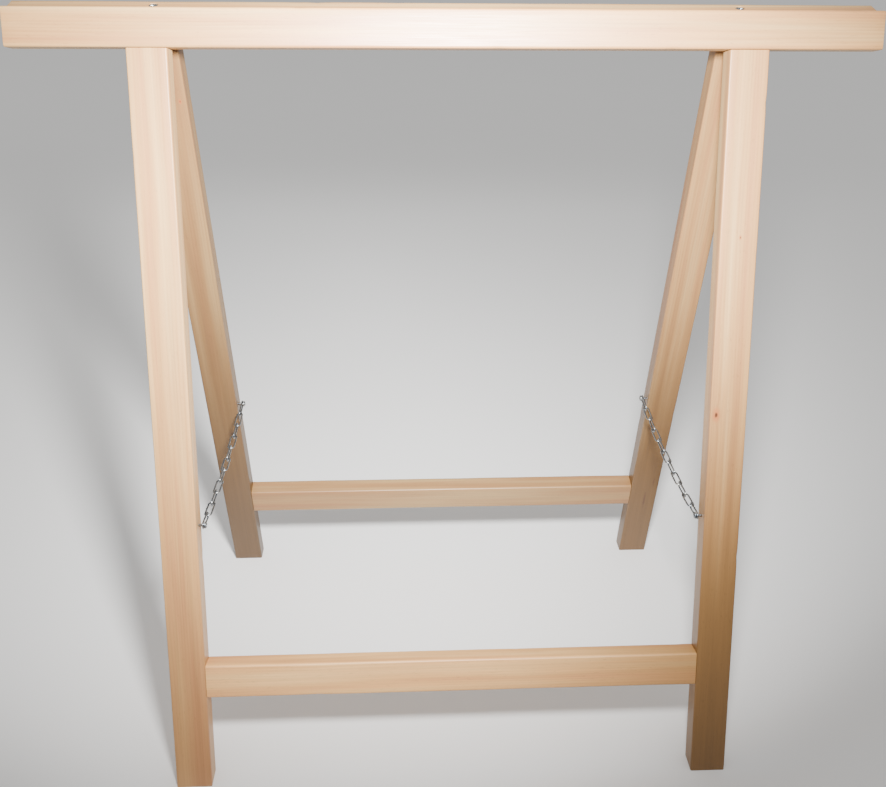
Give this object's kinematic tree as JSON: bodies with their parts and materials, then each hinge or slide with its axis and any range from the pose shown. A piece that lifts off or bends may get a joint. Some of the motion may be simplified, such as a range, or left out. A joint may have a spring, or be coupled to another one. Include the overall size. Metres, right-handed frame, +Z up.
{
  "type": "folding sawhorse",
  "caption": "Folding wooden sawhorse: hinged trestle frames, each with a top rail, legs and a cross rail, held open by chains.",
  "frame": {"origin": "on the floor, under the middle of the open sawhorse", "axes": "+X along the rails to the right, +Y from the front frame towards the rear frame, +Z up"},
  "size_m": [0.792, 0.4008, 0.7439],
  "materials": {
    "timber_rail": "planed pale hardwood, unfinished",
    "timber_leg": "planed pale hardwood, unfinished",
    "dowel_beech": "turned beech",
    "chain_zinc": "bright zinc plate on drawn wire",
    "hinge_zinc": "zinc-plated pressed steel",
    "screw_zinc": "zinc-plated steel"
  },
  "bodies": {
    "front_frame": {"front_cross_rail": "timber_rail", "front_left_chain_screw": "screw_zinc", "front_left_dowel": "dowel_beech", "front_left_leg": "timber_leg", "front_left_leg_screw": "screw_zinc", "front_right_chain_screw": "screw_zinc", "front_right_dowel": "dowel_beech", "front_right_leg": "timber_leg", "front_right_leg_screw": "screw_zinc", "front_top_rail": "timber_rail", "left_hinge_front_leaf": "hinge_zinc", "left_hinge_front_screw_1": "screw_zinc", "left_hinge_front_screw_2": "screw_zinc", "left_hinge_pin": "hinge_zinc", "right_hinge_front_leaf": "hinge_zinc", "right_hinge_front_screw_1": "screw_zinc", "right_hinge_front_screw_2": "screw_zinc", "right_hinge_pin": "hinge_zinc"},
    "rear_frame": {"left_hinge_rear_leaf": "hinge_zinc", "left_hinge_rear_screw_1": "screw_zinc", "left_hinge_rear_screw_2": "screw_zinc", "rear_cross_rail": "timber_rail", "rear_left_chain_screw": "screw_zinc", "rear_left_dowel": "dowel_beech", "rear_left_leg": "timber_leg", "rear_left_leg_screw": "screw_zinc", "rear_right_chain_screw": "screw_zinc", "rear_right_dowel": "dowel_beech", "rear_right_leg": "timber_leg", "rear_right_leg_screw": "screw_zinc", "rear_top_rail": "timber_rail", "right_hinge_rear_leaf": "hinge_zinc", "right_hinge_rear_screw_1": "screw_zinc", "right_hinge_rear_screw_2": "screw_zinc"},
    "left_chain_front": {"left_chain_link_01": "chain_zinc", "left_chain_link_02": "chain_zinc", "left_chain_link_03": "chain_zinc", "left_chain_link_04": "chain_zinc", "left_chain_link_05": "chain_zinc"},
    "left_chain_middle": {"left_chain_link_06": "chain_zinc"},
    "left_chain_rear": {"left_chain_link_07": "chain_zinc", "left_chain_link_08": "chain_zinc", "left_chain_link_09": "chain_zinc", "left_chain_link_10": "chain_zinc", "left_chain_link_11": "chain_zinc"},
    "right_chain_front": {"right_chain_link_01": "chain_zinc", "right_chain_link_02": "chain_zinc", "right_chain_link_03": "chain_zinc", "right_chain_link_04": "chain_zinc", "right_chain_link_05": "chain_zinc"},
    "right_chain_middle": {"right_chain_link_06": "chain_zinc"},
    "right_chain_rear": {"right_chain_link_07": "chain_zinc", "right_chain_link_08": "chain_zinc", "right_chain_link_09": "chain_zinc", "right_chain_link_10": "chain_zinc", "right_chain_link_11": "chain_zinc"}
  },
  "joints": [
    {"name": "fold", "type": "hinge", "parent": "front_frame", "child": "rear_frame", "pos_m": [0, 0, 0.73572], "axis": [-1, 0, 0], "range_deg": [0, 26.8], "deforming": ["left_chain_link_01", "left_chain_link_02", "left_chain_link_03", "left_chain_link_04", "left_chain_link_05", "left_chain_link_06", "left_chain_link_07", "left_chain_link_08", "left_chain_link_09", "left_chain_link_10", "left_chain_link_11", "right_chain_link_01", "right_chain_link_02", "right_chain_link_03", "right_chain_link_04", "right_chain_link_05", "right_chain_link_06", "right_chain_link_07", "right_chain_link_08", "right_chain_link_09", "right_chain_link_10", "right_chain_link_11"]},
    {"name": "left_chain_front_swing", "type": "hinge", "parent": "front_frame", "child": "left_chain_front", "pos_m": [-0.2455, -0.1244, 0.27244], "axis": [-1, 0, 0], "range_deg": [0, 85.45]},
    {"name": "left_chain_middle_swing", "type": "hinge", "parent": "left_chain_front", "child": "left_chain_middle", "pos_m": [-0.2455, -0.01269, 0.26444], "axis": [1, 0, 0], "range_deg": [0, 71.01]},
    {"name": "left_chain_rear_swing", "type": "hinge", "parent": "rear_frame", "child": "left_chain_rear", "pos_m": [-0.2455, 0.1244, 0.27244], "axis": [1, 0, 0], "range_deg": [0, 112.25]},
    {"name": "right_chain_front_swing", "type": "hinge", "parent": "front_frame", "child": "right_chain_front", "pos_m": [0.2455, -0.1244, 0.27244], "axis": [-1, 0, 0], "range_deg": [0, 85.45]},
    {"name": "right_chain_middle_swing", "type": "hinge", "parent": "right_chain_front", "child": "right_chain_middle", "pos_m": [0.2455, -0.01269, 0.26444], "axis": [1, 0, 0], "range_deg": [0, 71.01]},
    {"name": "right_chain_rear_swing", "type": "hinge", "parent": "rear_frame", "child": "right_chain_rear", "pos_m": [0.2455, 0.1244, 0.27244], "axis": [1, 0, 0], "range_deg": [0, 112.25]}
  ],
  "couplings": [
    {"joint": "left_chain_front_swing", "follows": "fold", "ratio": 3.1864},
    {"joint": "left_chain_middle_swing", "follows": "fold", "ratio": 2.6476},
    {"joint": "left_chain_rear_swing", "follows": "fold", "ratio": 4.1864},
    {"joint": "right_chain_front_swing", "follows": "fold", "ratio": 3.1864},
    {"joint": "right_chain_middle_swing", "follows": "fold", "ratio": 2.6476},
    {"joint": "right_chain_rear_swing", "follows": "fold", "ratio": 4.1864}
  ]
}
